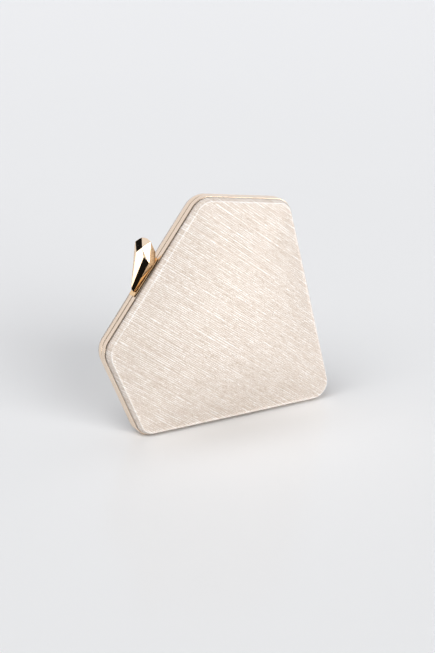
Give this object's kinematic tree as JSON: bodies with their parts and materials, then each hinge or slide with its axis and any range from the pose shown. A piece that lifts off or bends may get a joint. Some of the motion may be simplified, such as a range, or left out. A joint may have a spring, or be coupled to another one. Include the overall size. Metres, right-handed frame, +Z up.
{
  "type": "minaudiere",
  "caption": "Hard box clutch in a cut-gem outline: two framed, fabric-covered shells hinged at the tip, with a faceted clasp that tilts to release.",
  "frame": {"origin": "middle of the base of the bag's box, on the surface that it stands on", "axes": "+X to the right along the standing bag's long side, +Y towards the back, +Z up; the front faces -Y and y = 0 is the joint between the halves"},
  "size_m": [0.1724, 0.0296, 0.1546],
  "materials": {
    "pale_gold": "polished pale rose gold plating",
    "ribbed_fabric": "champagne metallic fabric with fine crossed ribs",
    "foam": "thin wadding",
    "shell_plastic": "moulded, unpainted",
    "card_board": "pressed card",
    "satin_lining": "smooth satin",
    "latch_steel": "plain"
  },
  "bodies": {
    "back_half": {"back_frame": "pale_gold", "back_shell": "shell_plastic", "back_padding": "foam", "back_cover": "ribbed_fabric", "back_lining_board": "card_board", "back_lining": "satin_lining", "hinge_pin": "latch_steel", "latch_bracket": "latch_steel", "bracket_rivets": "latch_steel", "latch_pivot_pin": "latch_steel", "latch_spring": "latch_steel"},
    "front_half": {"front_frame": "pale_gold", "front_shell": "shell_plastic", "front_padding": "foam", "front_cover": "ribbed_fabric", "front_lining_board": "card_board", "front_lining": "satin_lining", "catch_tongue": "latch_steel", "catch_rivets": "latch_steel"},
    "clasp": {"clasp_gem": "pale_gold", "clasp_lever": "pale_gold"}
  },
  "joints": [
    {"name": "bag_hinge", "type": "hinge", "parent": "back_half", "child": "front_half", "pos_m": [0.08143, 0, 0.00625], "axis": [0.6084, 0, 0.7936], "range_deg": [0, 75]},
    {"name": "clasp_pivot", "type": "hinge", "parent": "back_half", "child": "clasp", "pos_m": [-0.04811, 0.0045, 0.10556], "axis": [-0.6084, 0, -0.7936], "range_deg": [0, 8], "stiffness_Nm_per_rad": 0.06, "springref_deg": -20.05, "deforming": ["latch_spring"]}
  ]
}
